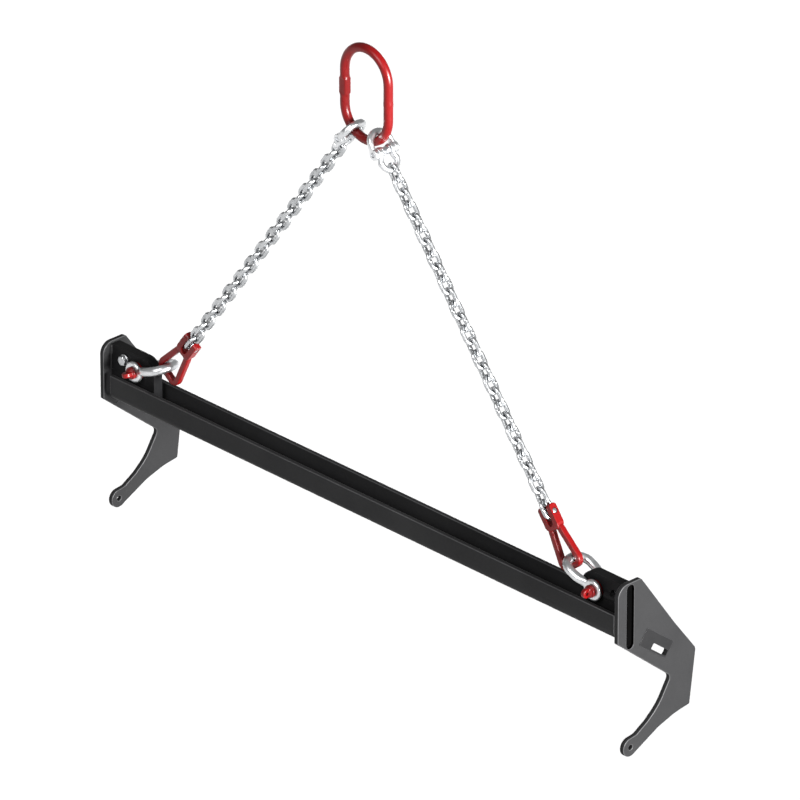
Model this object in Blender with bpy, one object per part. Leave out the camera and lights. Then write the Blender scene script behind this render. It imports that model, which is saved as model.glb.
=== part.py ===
"""Spreader beam with two chain legs, hung from one oval master link.

Frame: metres, +Z up, +X along the beam, +Y the way the end arms lean out.
Origin: the seat inside the top of the master link, where a hoist hook bears.
Lengths below are millimetres; MM turns them into metres.
"""
import math

import bmesh
import bpy
import numpy as np
from mathutils import Matrix, Vector

for _o in list(bpy.data.objects):
    bpy.data.objects.remove(_o, do_unlink=True)

MM = 0.001
GAP = 0.3                      # clearance between touching pieces

# ------------------------------------------------------------------ master link
MASTER_WIRE_R = 6.5            # 13 mm bar
MASTER_BEND_R = 41.5           # bend radius on the bar's centre line (70 mm inside)
MASTER_STRAIGHT = 50.0         # 120 mm inside length
HOOK_Z = 684.2                 # hook seat above the end plates' lower front corner
LOWER_BEND_Z = HOOK_Z - (MASTER_BEND_R - MASTER_WIRE_R) - MASTER_STRAIGHT

# ------------------------------------------------------------------ beam channel
CH_WIDTH = 46.0
CH_BOTTOM = 2.7
CH_TOP = 40.7
CH_WALL = 6.5
CH_BEND_R = 13.0               # outside radius of the two folded corners
CH_LEFT = -487.0
PLATE_T = 7.0
PLATE_RIGHT_IN = 493.0         # inner face of the right end plate
PLATE_LEFT_IN = -500.0         # inner face of the left end plate

# ------------------------------------------------------------------ lugs and shackles
PIN_X = {-1: -447.0, 1: 444.5}  # shackle pins, left and right
PIN_Z = 58.0
LUG_T = 15.4
LUG_R = 22.5                   # nose radius
LUG_NOSE_X = {-1: -414.0, 1: 417.5}
SHACKLE_JAW = 21.8
SHACKLE_EAR_T = 6.9
SHACKLE_EAR_R = 15.4
SPACER_R = 12.6                # rings on the pin between lug and ears
SHACKLE_PIN_R = 8.0
SHACKLE_WIRE_R = 6.35
SHACKLE_BOW_R = 18.8
BOLT_X = {-1: -472.5, 1: 475.5}
BOLT_Z = {-1: 65.5, 1: 63.0}
BOLT_R = 4.0                   # M8
BOLT_AF = 13.0
RIB_R = 6.0
RIB_Z = 56.0
RIB_START = {-1: -464.0, 1: 461.5}   # the rib runs from here to the end plate

# ------------------------------------------------------------------ clevis pear link
BAR_X, BAR_Z = 393.2, 69.5     # centre of the pear link's base bar
BAR_R = 4.5
BOW_OFFSET = 4.0               # where the shackle bow rides along the base bar
PEAR_PIN = 77.0                # base bar to clevis pin
CLEVIS_PIN_R = 3.75
FORK_IN, FORK_OUT = 5.2, 13.6

# ------------------------------------------------------------------ coupling links
CPL_UP_R = 5.0
CPL_LO_R = 3.8
CPL_PIN_S = 57.0
CPL_LO_S = 84.7
CPL_EYE_R = 7.6
CPL_PIN_R = 3.5
BUSH_R = 6.8

# ------------------------------------------------------------------ chain
WIRE_R = 3.0
LINK_HALF_W = 7.5
LINKS = 28
LINKS_PER_RUN = 4

LEG_ANGLE = math.atan2(LOWER_BEND_Z - BAR_Z, BAR_X)
LEG_LEN = math.hypot(LOWER_BEND_Z - BAR_Z, BAR_X)
SWING_GAP = 0.5                # play at the two places where the rigging swings sideways
S_LINK0 = CPL_LO_S - CPL_LO_R - WIRE_R - SWING_GAP
S_CLEVIS = LEG_LEN - PEAR_PIN
S_END = S_CLEVIS + CLEVIS_PIN_R + WIRE_R + GAP
PITCH = (S_END - S_LINK0 - 2 * WIRE_R - GAP) / LINKS


# ================================================================== helpers
def material(name, rgb, rough, metal):
    m = bpy.data.materials.new(name)
    m.use_nodes = True
    b = m.node_tree.nodes["Principled BSDF"]
    b.inputs["Base Color"].default_value = (*rgb, 1.0)
    b.inputs["Roughness"].default_value = rough
    b.inputs["Metallic"].default_value = metal
    m.diffuse_color = (*rgb, 1.0)
    return m


BLACK = material("black_powder_coat", (0.018, 0.018, 0.019), 0.45, 0.0)
RED = material("red_powder_coat", (0.45, 0.012, 0.012), 0.38, 0.0)
ZINC = material("galvanised_steel", (0.62, 0.63, 0.65), 0.32, 1.0)
CHAIN = material("chain_steel", (0.55, 0.56, 0.58), 0.30, 1.0)
BOLTS = material("zinc_bolt", (0.45, 0.46, 0.48), 0.35, 1.0)
RUBBER = material("black_strip", (0.006, 0.006, 0.006), 0.9, 0.0)


def finish(name, bm, mat, origin=(0, 0, 0), smooth=None):
    """Turn a bmesh in millimetres, plate datum, into a named object in metres."""
    bmesh.ops.remove_doubles(bm, verts=bm.verts, dist=1e-4)
    bmesh.ops.recalc_face_normals(bm, faces=bm.faces)
    o = Vector(origin)
    for v in bm.verts:
        v.co = (v.co - o) * MM
    me = bpy.data.meshes.new(name)
    bm.to_mesh(me)
    bm.free()
    me.materials.append(mat)
    if smooth is not None:
        me.shade_smooth()
        me.set_sharp_from_angle(angle=math.radians(smooth))
    ob = bpy.data.objects.new(name, me)
    bpy.context.scene.collection.objects.link(ob)
    ob.location = (o - Vector((0, 0, HOOK_Z))) * MM
    return ob


def sweep(bm, pts, plane_n, sides, closed, r_in, r_n, phase=0.5 * math.pi):
    """Sweep an elliptical section along a planar path.

    r_in is the half size in the path's plane, r_n the half size across it; both
    may be one number or one per point.
    """
    n = len(pts)
    nv = Vector(plane_n).normalized()
    rings = []
    for i, p in enumerate(pts):
        a = pts[(i - 1) % n] if closed or i > 0 else p
        b = pts[(i + 1) % n] if closed or i < n - 1 else p
        t = (Vector(b) - Vector(a)).normalized()
        bvec = nv.cross(t).normalized()
        ri = r_in[i] if hasattr(r_in, "__len__") else r_in
        rn = r_n[i] if hasattr(r_n, "__len__") else r_n
        ring = []
        for k in range(sides):
            ang = phase + 2 * math.pi * k / sides
            ring.append(bm.verts.new(Vector(p) + bvec * (ri * math.sin(ang)) + nv * (rn * math.cos(ang))))
        rings.append(ring)
    m = n if closed else n - 1
    for i in range(m):
        r0, r1 = rings[i], rings[(i + 1) % n]
        for k in range(sides):
            bm.faces.new((r0[k], r0[(k + 1) % sides], r1[(k + 1) % sides], r1[k]))
    if not closed:
        bm.faces.new(rings[0][::-1])
        bm.faces.new(rings[-1])


def prism(bm, outline, axis, lo, hi):
    """Extrude a 2-D outline. axis 0: points are (y, z); axis 1: points are (x, z)."""
    def put(p, h):
        return (h, p[0], p[1]) if axis == 0 else (p[0], h, p[1])
    a = [bm.verts.new(put(p, lo)) for p in outline]
    b = [bm.verts.new(put(p, hi)) for p in outline]
    n = len(outline)
    bm.faces.new(a)
    bm.faces.new(b[::-1])
    for i in range(n):
        bm.faces.new((a[i], b[i], b[(i + 1) % n], a[(i + 1) % n]))


def cylinder(bm, c0, c1, r, sides, r1=None, phase=0.0):
    """A closed cylinder or cone between two centres."""
    c0, c1 = Vector(c0), Vector(c1)
    ax = (c1 - c0).normalized()
    ref = Vector((0, 0, 1)) if abs(ax.z) < 0.9 else Vector((1, 0, 0))
    u = ax.cross(ref).normalized()
    w = ax.cross(u)
    r1 = r if r1 is None else r1
    ra = [bm.verts.new(c0 + (u * math.cos(phase + 2 * math.pi * k / sides) + w * math.sin(phase + 2 * math.pi * k / sides)) * r) for k in range(sides)]
    rb = [bm.verts.new(c1 + (u * math.cos(phase + 2 * math.pi * k / sides) + w * math.sin(phase + 2 * math.pi * k / sides)) * r1) for k in range(sides)]
    bm.faces.new(ra)
    bm.faces.new(rb[::-1])
    for k in range(sides):
        bm.faces.new((ra[k], rb[k], rb[(k + 1) % sides], ra[(k + 1) % sides]))


def box(bm, corner_fn, us, vs, ws):
    """A box between ranges us, vs, ws; corner_fn maps (u, v, w) to a point."""
    v = [[[bm.verts.new(corner_fn(u, q, w)) for w in ws] for q in vs] for u in us]
    for a, b, c, d in (((0, 0, 0), (0, 0, 1), (0, 1, 1), (0, 1, 0)), ((1, 0, 0), (1, 1, 0), (1, 1, 1), (1, 0, 1)),
                       ((0, 0, 0), (1, 0, 0), (1, 0, 1), (0, 0, 1)), ((0, 1, 0), (0, 1, 1), (1, 1, 1), (1, 1, 0)),
                       ((0, 0, 0), (0, 1, 0), (1, 1, 0), (1, 0, 0)), ((0, 0, 1), (1, 0, 1), (1, 1, 1), (0, 1, 1))):
        bm.faces.new([v[i][j][k] for i, j, k in (a, b, c, d)])


def arc2(cx, cy, r, a0, a1, n):
    """n + 1 points of a circular arc, angles in degrees."""
    return [(cx + r * math.cos(math.radians(a0 + (a1 - a0) * i / n)), cy + r * math.sin(math.radians(a0 + (a1 - a0) * i / n))) for i in range(n + 1)]


def rounded(corners, seg=4):
    """Round the corners of a closed polygon given as (x, y, radius)."""
    out = []
    n = len(corners)
    for i, (x, y, r) in enumerate(corners):
        p = Vector((x, y))
        a = (Vector(corners[i - 1][:2]) - p).normalized()
        b = (Vector(corners[(i + 1) % n][:2]) - p).normalized()
        if r <= 0:
            out.append((x, y))
            continue
        half = a.angle(b) / 2
        d = r / math.tan(half)
        c = p + (a + b).normalized() * (r / math.sin(half))
        s, e = p + a * d - c, p + b * d - c
        a0, a1 = math.atan2(s.y, s.x), math.atan2(e.y, e.x)
        da = (a1 - a0 + math.pi) % (2 * math.pi) - math.pi
        for k in range(seg + 1):
            t = a0 + da * k / seg
            out.append((c.x + r * math.cos(t), c.y + r * math.sin(t)))
    return out


def boolean(ob, other, op):
    """Boolean with the exact solver, kept as a modifier on the object."""
    m = ob.modifiers.new(op.lower(), 'BOOLEAN')
    m.operation = op
    m.solver = 'EXACT'
    m.object = other
    other.hide_render = True
    other.display_type = 'WIRE'
    return m


def helper(name, build_fn):
    bm = bmesh.new()
    build_fn(bm)
    ob = finish(name, bm, ZINC)
    ob.hide_render = True
    ob.display_type = 'WIRE'
    return ob


# ------------------------------------------------------------------ leg frame
class Leg:
    """Straight line from the lower bend's centre to the pear link's base bar."""
    def __init__(self, side):
        self.s = side
        self.d = Vector((side * math.cos(LEG_ANGLE), 0, -math.sin(LEG_ANGLE)))
        self.n = Vector((side * math.sin(LEG_ANGLE), 0, math.cos(LEG_ANGLE)))
        self.o = Vector((0, 0, LOWER_BEND_Z))

    def at(self, s, y=0.0, n=0.0):
        return self.o + self.d * s + Vector((0, y, 0)) + self.n * n


# ================================================================== master link
def stadium(c_lo, c_hi, r, seg, to3):
    """Closed centre line: two half circles joined by straights."""
    pts = []
    for i in range(seg + 1):
        a = math.pi + math.pi * i / seg
        pts.append(to3(r * math.cos(a), c_lo + r * math.sin(a)))
    for i in range(seg + 1):
        a = math.pi * i / seg
        pts.append(to3(r * math.cos(a), c_hi + r * math.sin(a)))
    return pts


bm = bmesh.new()
sweep(bm, stadium(LOWER_BEND_Z, LOWER_BEND_Z + MASTER_STRAIGHT, MASTER_BEND_R, 14, lambda a, b: Vector((a, 0, b))),
      (0, 1, 0), 12, True, MASTER_WIRE_R, MASTER_WIRE_R)
finish("master_link", bm, RED, (0, 0, HOOK_Z), 50)


# ================================================================== coupling links
def coupling(side, tag):
    leg = Leg(side)
    pin = leg.at(CPL_PIN_S)

    def u_path(crown_s, r, legs, seg):
        """legs: list of (s, y) from the knuckle toward the bend, one side."""
        c = crown_s + r if crown_s < CPL_PIN_S else crown_s - r
        sg = -1 if crown_s < CPL_PIN_S else 1
        arc = [(c + sg * r * math.sin(math.pi * i / seg), r * math.cos(math.pi * i / seg)) for i in range(seg + 1)]
        return [(s, y) for s, y in legs] + arc + [(s, -y) for s, y in reversed(legs)]

    # upper half: rides inside the master link, carries the outer knuckles
    up_s = MASTER_BEND_R - MASTER_WIRE_R - CPL_UP_R - 0.4
    path = u_path(up_s, 17.5, [(CPL_PIN_S, 18.1), (49.6, 18.1)], 10)
    n = len(path)
    r_in = [3.2, 3.2] + [3.2 + (CPL_UP_R - 3.2) * math.sin(math.pi * i / 10) ** 1.0 for i in range(11)] + [3.2, 3.2]
    bm = bmesh.new()
    sweep(bm, [leg.at(s, y) for s, y in path], leg.n, 8, False, r_in, [4.6, 4.8] + [5.0] * 11 + [4.8, 4.6], phase=math.pi / 8)
    up = finish(tag + "_coupling_upper", bm, ZINC, pin, 45)
    # lower half: carries the chain, inner knuckles
    path = u_path(CPL_LO_S, 14.0, [(CPL_PIN_S, 11.2), (64.9, 11.25)], 10)
    r_in = [3.2, 3.25] + [4.4 + (CPL_LO_R - 4.4) * math.sin(math.pi * i / 10) for i in range(11)] + [3.25, 3.2]
    r_n = [4.6, 4.6] + [4.5 + (CPL_LO_R - 4.5) * min(1.0, 1.5 * math.sin(math.pi * i / 10)) for i in range(11)] + [4.6, 4.6]
    bm = bmesh.new()
    sweep(bm, [leg.at(s, y) for s, y in path], leg.n, 8, False, r_in, r_n, phase=math.pi / 8)
    lo = finish(tag + "_coupling_lower", bm, ZINC, pin, 45)
    for ob, y0, y1 in ((up, 14.9, 21.3), (lo, 7.9, 14.5)):
        for sg in (1, -1):
            k = helper("%s_knuckle_%d" % (ob.name, sg), lambda b, y0=y0, y1=y1, sg=sg: cylinder(b, leg.at(CPL_PIN_S, sg * y0), leg.at(CPL_PIN_S, sg * y1), CPL_EYE_R, 14))
            boolean(ob, k, 'UNION')
        bore = helper(ob.name + "_bore", lambda b: cylinder(b, leg.at(CPL_PIN_S, -30), leg.at(CPL_PIN_S, 30), CPL_PIN_R + GAP, 14))
        boolean(ob, bore, 'DIFFERENCE')
    bm = bmesh.new()
    cylinder(bm, leg.at(CPL_PIN_S, -20.9), leg.at(CPL_PIN_S, 20.9), CPL_PIN_R, 14)
    finish(tag + "_coupling_pin", bm, BOLTS, pin, 40)
    # centre bush, turned with a waist
    bm = bmesh.new()
    prof = [(-7.4, BUSH_R), (-4.2, BUSH_R - 1.3), (4.2, BUSH_R - 1.3), (7.4, BUSH_R)]
    rings = []
    for r_fn in (lambda r: r, lambda r: CPL_PIN_R + GAP):
        for y, r in (prof if r_fn(99) == 99 else reversed(prof)):
            rings.append([bm.verts.new(pin + Vector((0, y, 0)) + (leg.d * math.cos(2 * math.pi * k / 14) + leg.n * math.sin(2 * math.pi * k / 14)) * r_fn(r)) for k in range(14)])
    for i in range(len(rings)):
        a, b = rings[i], rings[(i + 1) % len(rings)]
        for k in range(14):
            bm.faces.new((a[k], a[(k + 1) % 14], b[(k + 1) % 14], b[k]))
    finish(tag + "_coupling_bush", bm, BOLTS, pin, 40)


# ================================================================== chain runs
def chain(side, tag):
    leg = Leg(side)
    overlap = 0.3                                   # links of one run bear on each other
    for run in range(LINKS // LINKS_PER_RUN):
        parts = []
        for j in range(LINKS_PER_RUN):
            i = run * LINKS_PER_RUN + j
            top = S_LINK0 + i * PITCH
            last = j == LINKS_PER_RUN - 1
            bot = top + PITCH + 2 * WIRE_R + (GAP if last else -overlap)
            flat = i % 2 == 0                       # even links lie in the beam's vertical plane
            to3 = (lambda a, b: leg.at(b, 0, a)) if flat else (lambda a, b: leg.at(b, a, 0))
            pn = (0, 1, 0) if flat else leg.n
            bm = bmesh.new()
            sweep(bm, stadium(top + LINK_HALF_W, bot - LINK_HALF_W, LINK_HALF_W, 4, to3), pn, 6, True, WIRE_R, WIRE_R)
            parts.append(bm)
        origin = leg.at(S_LINK0 + run * LINKS_PER_RUN * PITCH)
        base = finish("%s_chain_%d" % (tag, run + 1), parts[0], CHAIN, origin, 50)
        for j, bmj in enumerate(parts[1:]):
            other = finish("%s_chain_%d_link_%d" % (tag, run + 1, j + 2), bmj, CHAIN)
            boolean(base, other, 'UNION')


# ================================================================== clevis pear link
def pear(side, tag):
    leg = Leg(side)
    s0 = LEG_LEN

    def P(u, v, y=0.0):
        return leg.at(s0 + u, y, v)

    base = 20.0
    outline = rounded([(0, -base, 9.0), (0, base, 9.0), (-57.5, 8.6, 7.0), (-57.5, -8.6, 7.0)], 4)
    bm = bmesh.new()
    sweep(bm, [P(u, v) for u, v in outline], (0, 1, 0), 8, True, BAR_R, BAR_R, phase=math.pi / 8)
    pin = leg.at(S_CLEVIS)
    ob = finish(tag + "_clevis_link", bm, RED, pin, 40)
    neck = helper(ob.name + "_neck", lambda b: box(b, lambda u, v, w: P(u, v, w), (-64.0, -54.2), (-FORK_OUT, FORK_OUT), (-6.0, 6.0)))
    boolean(ob, neck, 'UNION')
    for sg in (1, -1):
        a, b_ = (FORK_IN, FORK_OUT) if sg > 0 else (-FORK_OUT, -FORK_IN)

        def ear(b, a=a, b_=b_):
            pts = [(-60.0, -6.2), (-60.0, 6.2)] + [(-PEAR_PIN - 4.2 - 6.2 * math.sin(math.pi * k / 6), 6.2 * math.cos(math.pi * k / 6)) for k in range(7)]
            va = [b.verts.new(P(u, a, y)) for u, y in pts]
            vb = [b.verts.new(P(u, b_, y)) for u, y in pts]
            b.faces.new(va)
            b.faces.new(vb[::-1])
            for i in range(len(pts)):
                b.faces.new((va[i], vb[i], vb[(i + 1) % len(pts)], va[(i + 1) % len(pts)]))
        boolean(ob, helper("%s_ear_%d" % (ob.name, sg), ear), 'UNION')
    bore = helper(ob.name + "_bore", lambda b: cylinder(b, leg.at(S_CLEVIS, 0, -30), leg.at(S_CLEVIS, 0, 30), CLEVIS_PIN_R + GAP, 14))
    boolean(ob, bore, 'DIFFERENCE')
    bm = bmesh.new()
    cylinder(bm, leg.at(S_CLEVIS, 0, -FORK_OUT + 0.4), leg.at(S_CLEVIS, 0, FORK_OUT - 0.4), CLEVIS_PIN_R, 14)
    finish(tag + "_clevis_pin", bm, BOLTS, pin, 40)


# ================================================================== shackles
def shackle(side, tag):
    leg = Leg(side)
    ps = Vector((PIN_X[side], 0, PIN_Z))
    reach = BAR_R + SHACKLE_WIRE_R + SWING_GAP
    crown = leg.at(LEG_LEN - reach, 0, BOW_OFFSET)
    e = (crown - ps)
    length = e.length
    e.normalize()
    nrm = Vector((0, 1, 0)).cross(e)

    def at(t, y):
        return ps + e * t + Vector((0, y, 0))

    y_ear = SHACKLE_JAW / 2 + SHACKLE_EAR_T / 2
    seg = 14
    c = length - SHACKLE_BOW_R
    limb = [(2.0, y_ear), (11.0, y_ear), (20.0, y_ear + 1.3), (28.0, y_ear + 3.8)]
    arc = [(c + SHACKLE_BOW_R * math.sin(math.pi * i / seg), SHACKLE_BOW_R * math.cos(math.pi * i / seg)) for i in range(seg + 1)]
    path = limb + arc + [(t, -y) for t, y in reversed(limb)]
    rr = [3.3, 3.4, 5.2, 6.1] + [SHACKLE_WIRE_R] * (seg + 1) + [6.1, 5.2, 3.4, 3.3]
    rn = [6.2, 6.4, 6.4, 6.4] + [SHACKLE_WIRE_R] * (seg + 1) + [6.4, 6.4, 6.4, 6.2]
    bm = bmesh.new()
    sweep(bm, [at(t, y) for t, y in path], nrm, 10, False, rr, rn, phase=math.pi / 10)
    ob = finish(tag + "_shackle_bow", bm, ZINC, ps, 45)
    for sg in (1, -1):
        k = helper("%s_ear_%d" % (ob.name, sg), lambda b, sg=sg: cylinder(b, ps + Vector((0, sg * SHACKLE_JAW / 2, 0)), ps + Vector((0, sg * (SHACKLE_JAW / 2 + SHACKLE_EAR_T), 0)), SHACKLE_EAR_R, 24))
        boolean(ob, k, 'UNION')
    # the limbs keep clear of the lug between the ears
    jaw = helper(ob.name + "_jaw", lambda b: box(b, lambda u, v, w: Vector((ps.x + u, v, ps.z + w)), (-29, 29), (-SHACKLE_JAW / 2, SHACKLE_JAW / 2), (-29, 29)))
    boolean(ob, jaw, 'DIFFERENCE')
    bore = helper(ob.name + "_bore", lambda b: cylinder(b, ps + Vector((0, -40, 0)), ps + Vector((0, 40, 0)), SHACKLE_PIN_R + GAP, 20))
    boolean(ob, bore, 'DIFFERENCE')

    # spacer rings that centre the shackle on the lug
    for name, y0, y1 in (("front", -SHACKLE_JAW / 2 + GAP, -LUG_T / 2 - GAP), ("back", LUG_T / 2 + GAP, SHACKLE_JAW / 2 - GAP)):
        bm = bmesh.new()
        ring(bm, ps.x, ps.z, y0, y1, SPACER_R, SHACKLE_PIN_R + 0.5, 24)
        finish("%s_spacer_%s" % (tag, name), bm, RED, ps, 40)

    # screw pin: shank, round collar on the -Y side, flat eye tab
    y_out = SHACKLE_JAW / 2 + SHACKLE_EAR_T
    bm = bmesh.new()
    cylinder(bm, ps + Vector((0, -y_out - 3.0, 0)), ps + Vector((0, y_out + 0.5, 0)), SHACKLE_PIN_R, 20)
    pin = finish(tag + "_shackle_pin", bm, RED, ps, 40)
    collar = helper(pin.name + "_collar", lambda b: cylinder(b, ps + Vector((0, -y_out - 4.5, 0)), ps + Vector((0, -y_out - GAP, 0)), 9.2, 20))
    boolean(pin, collar, 'UNION')
    turn = math.radians(0 if side > 0 else 75)
    tx, tz = Vector((math.sin(turn), 0, math.cos(turn))), Vector((math.cos(turn), 0, -math.sin(turn)))

    def tab(b):
        pts = [(-y_out - 3.0, -6.5), (-y_out - 3.0, 6.5)] + [(-y_out - 10.0 - 6.8 * math.sin(math.pi * k / 8), 6.8 * math.cos(math.pi * k / 8)) for k in range(9)]
        va = [b.verts.new(ps + Vector((0, y, 0)) + tx * h - tz * 3.2) for y, h in pts]
        vb = [b.verts.new(ps + Vector((0, y, 0)) + tx * h + tz * 3.2) for y, h in pts]
        b.faces.new(va)
        b.faces.new(vb[::-1])
        for i in range(len(pts)):
            b.faces.new((va[i], vb[i], vb[(i + 1) % len(pts)], va[(i + 1) % len(pts)]))
    boolean(pin, helper(pin.name + "_tab", tab), 'UNION')
    hole_c = ps + Vector((0, -y_out - 10.2, 0))
    boolean(pin, helper(pin.name + "_eye", lambda b: cylinder(b, hole_c - tz * 8, hole_c + tz * 8, 2.3, 10)), 'DIFFERENCE')


# ================================================================== beam
def channel_profile():
    h, b, t, r = CH_WIDTH / 2, CH_BOTTOM, CH_WALL, CH_BEND_R
    e = 1.0
    out = [(-h + e, CH_TOP), (-h, CH_TOP - e)] + arc2(-h + r, b + r, r, 180, 270, 6) + arc2(h - r, b + r, r, 270, 360, 6) + [(h, CH_TOP - e), (h - e, CH_TOP), (h - t + e, CH_TOP), (h - t, CH_TOP - e)]
    ri = r - t
    out += arc2(h - r, b + r, ri, 360, 270, 4) + arc2(-h + r, b + r, ri, 270, 180, 4) + [(-h + t, CH_TOP - e), (-h + t - e, CH_TOP)]
    return out


bm = bmesh.new()
prism(bm, channel_profile(), 0, CH_LEFT, PLATE_RIGHT_IN - GAP)
finish("beam_channel", bm, BLACK, (0, 0, CH_BOTTOM), 35)

# end plate outline, (y, z), front lower corner first, then up, back and down the arm
EYE_Y, EYE_Z, EYE_R, EYE_HOLE_R = 3.2, -163.1, 13.4, 3.9
PLATE_CORNERS = [
    (-22.7, 0.0, 1.5), (-22.7, 84.0, 17.0), (20.0, 84.0, 6.5), (85.0, -6.7, 60.0), (124.4, -57.5, 9.0),
    (113.9, -138.4, 3.0), (88.0, -141.9, 90.0), (55.3, -151.8, 60.0),
]
ARM_INNER = [(35.0, -136.0, 14.0), (56.1, -118.8, 80.0), (78.0, -83.0, 8.0)]


def plate_outline():
    """Plate and arm: the arm ends in a round eye tangent to both arm edges."""
    a0 = math.radians(-52)          # outer edge leaves the eye here
    a1 = math.radians(92)           # inner edge meets the eye here
    start = (EYE_Y + EYE_R * math.cos(a0), EYE_Z + EYE_R * math.sin(a0))
    end = (EYE_Y + EYE_R * math.cos(a1), EYE_Z + EYE_R * math.sin(a1))
    pts = PLATE_CORNERS + [(*start, 0)]
    eye = arc2(EYE_Y, EYE_Z, EYE_R, -52, -268, 14)[1:-1]
    pts += [(y, z, 0) for y, z in eye] + [(*end, 0), (14.0, -148.3, 12.0)] + ARM_INNER
    return rounded(pts, 4)


PAD_C, PAD_SIZE, PAD_ANGLE = (48.9, -23.3), (61.4, 25.6), math.radians(-37.5)
WIN_C, WIN_SIZE = (55.2, -35.1), (34.2, 8.7)
PAD_DEPTH = 1.3
SLOT_HALF, SLOT_LO, SLOT_HI = 6.6, -13.9, 81.0


def rect2(c, size, ang, grow=0.0, r=1.0):
    ca, sa = math.cos(ang), math.sin(ang)
    a, b = size[0] / 2 + grow, size[1] / 2 + grow
    return rounded([(c[0] + ca * x - sa * y, c[1] + sa * x + ca * y, r) for x, y in ((-a, -b), (a, -b), (a, b), (-a, b))], 3)


def slot_outline(grow):
    h = SLOT_HALF + grow
    return arc2(0, SLOT_HI - SLOT_HALF, h, 0, 180, 8) + arc2(0, SLOT_LO + SLOT_HALF, h, 180, 360, 8)


def end_plate(side, tag):
    inner = PLATE_RIGHT_IN if side > 0 else PLATE_LEFT_IN
    outer = inner + side * PLATE_T
    bm = bmesh.new()
    prism(bm, plate_outline(), 0, min(inner, outer), max(inner, outer))
    ob = finish(tag + "_end_plate", bm, BLACK, (outer, 0, 0), 35)
    lo, hi = min(inner, outer) - 5, max(inner, outer) + 5
    boolean(ob, helper(tag + "_cut_slot", lambda b: prism(b, slot_outline(0), 0, lo, hi)), 'DIFFERENCE')
    boolean(ob, helper(tag + "_cut_window", lambda b: prism(b, rect2(WIN_C, WIN_SIZE, PAD_ANGLE, r=1.2), 0, lo, hi)), 'DIFFERENCE')
    boolean(ob, helper(tag + "_cut_eye", lambda b: prism(b, arc2(EYE_Y, EYE_Z, EYE_HOLE_R, 0, 345, 23), 0, lo, hi)), 'DIFFERENCE')
    p0, p1 = outer - side * PAD_DEPTH, outer + side * 5
    boolean(ob, helper(tag + "_cut_pad", lambda b: prism(b, rect2(PAD_C, PAD_SIZE, PAD_ANGLE, 0.3), 0, min(p0, p1), max(p0, p1))), 'DIFFERENCE')

    # identification pad let into the outer face, with the same window
    q0, q1 = outer - side * (PAD_DEPTH - 0.3), outer
    bm = bmesh.new()
    prism(bm, rect2(PAD_C, PAD_SIZE, PAD_ANGLE), 0, min(q0, q1), max(q0, q1))
    pad = finish(tag + "_id_pad", bm, BLACK, (outer, PAD_C[0], PAD_C[1]), None)
    boolean(pad, helper(tag + "_cut_pad_window", lambda b: prism(b, rect2(WIN_C, WIN_SIZE, PAD_ANGLE, r=1.2), 0, lo, hi)), 'DIFFERENCE')

    # dark strip that closes the slot from behind, set back from the outer face
    bm = bmesh.new()
    s0, s1 = inner + side * GAP, outer - side * 3.5
    prism(bm, slot_outline(-GAP), 0, min(s0, s1), max(s0, s1))
    finish(tag + "_slot_strip", bm, RUBBER, (outer, 0, 0), 35)


def lug(side, tag):
    inner = PLATE_RIGHT_IN if side > 0 else PLATE_LEFT_IN
    x_end = inner - side * GAP
    top = PIN_Z + LUG_R
    x_eye, x_nose = PIN_X[side], LUG_NOSE_X[side] + side * LUG_R
    foot = CH_BOTTOM + CH_WALL + GAP
    if side > 0:
        pts = [(x_end, foot), (x_end, top)] + arc2(x_nose, PIN_Z, LUG_R, 90, 180, 8) + [(x_nose - LUG_R, foot)]
    else:
        pts = [(x_end, foot), (x_end, top)] + arc2(x_nose, PIN_Z, LUG_R, 90, 0, 8) + [(x_nose + LUG_R, foot)]
    bm = bmesh.new()
    prism(bm, pts, 1, -LUG_T / 2, LUG_T / 2)
    ob = finish(tag + "_lug", bm, BLACK, (x_eye, 0, PIN_Z), 35)
    # each lug's bolt goes in from one side, and a half-round bar stiffens the other
    head = side
    bx, bz = BOLT_X[side], BOLT_Z[side]
    rib_y = -head * (LUG_T / 2 - 1.0)
    x0 = RIB_START[side]
    boolean(ob, helper(tag + "_lug_rib", lambda b: cylinder(b, (x0, rib_y, RIB_Z), (x_end, rib_y, RIB_Z), RIB_R, 16)), 'UNION')
    boolean(ob, helper(tag + "_lug_bore", lambda b: cylinder(b, (x_eye, -30, PIN_Z), (x_eye, 30, PIN_Z), SHACKLE_PIN_R + 0.5, 20)), 'DIFFERENCE')
    boolean(ob, helper(tag + "_lug_bolt_bore", lambda b: cylinder(b, (bx, -30, bz), (bx, 30, bz), BOLT_R + GAP, 14)), 'DIFFERENCE')

    # bolt and washer; the lug is tapped, and the bolt's tip stays inside it
    y0 = LUG_T / 2 + GAP
    bm = bmesh.new()
    cylinder(bm, (bx, head * (y0 + 3.0), bz), (bx, -head * (LUG_T / 2 - 5.0), bz), BOLT_R, 12)
    bolt = finish(tag + "_lug_bolt", bm, BOLTS, (bx, 0, bz), 40)
    head_r = BOLT_AF / math.sqrt(3)
    boolean(bolt, helper(tag + "_bolt_head", lambda b: cylinder(b, (bx, head * (y0 + 7.3), bz), (bx, head * (y0 + 2.0), bz), head_r, 6)), 'UNION')
    bm = bmesh.new()
    ring(bm, bx, bz, head * y0, head * (y0 + 1.7), 8.0, BOLT_R + GAP, 16)
    finish(tag + "_lug_washer", bm, BOLTS, (bx, 0, bz), 40)


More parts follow.
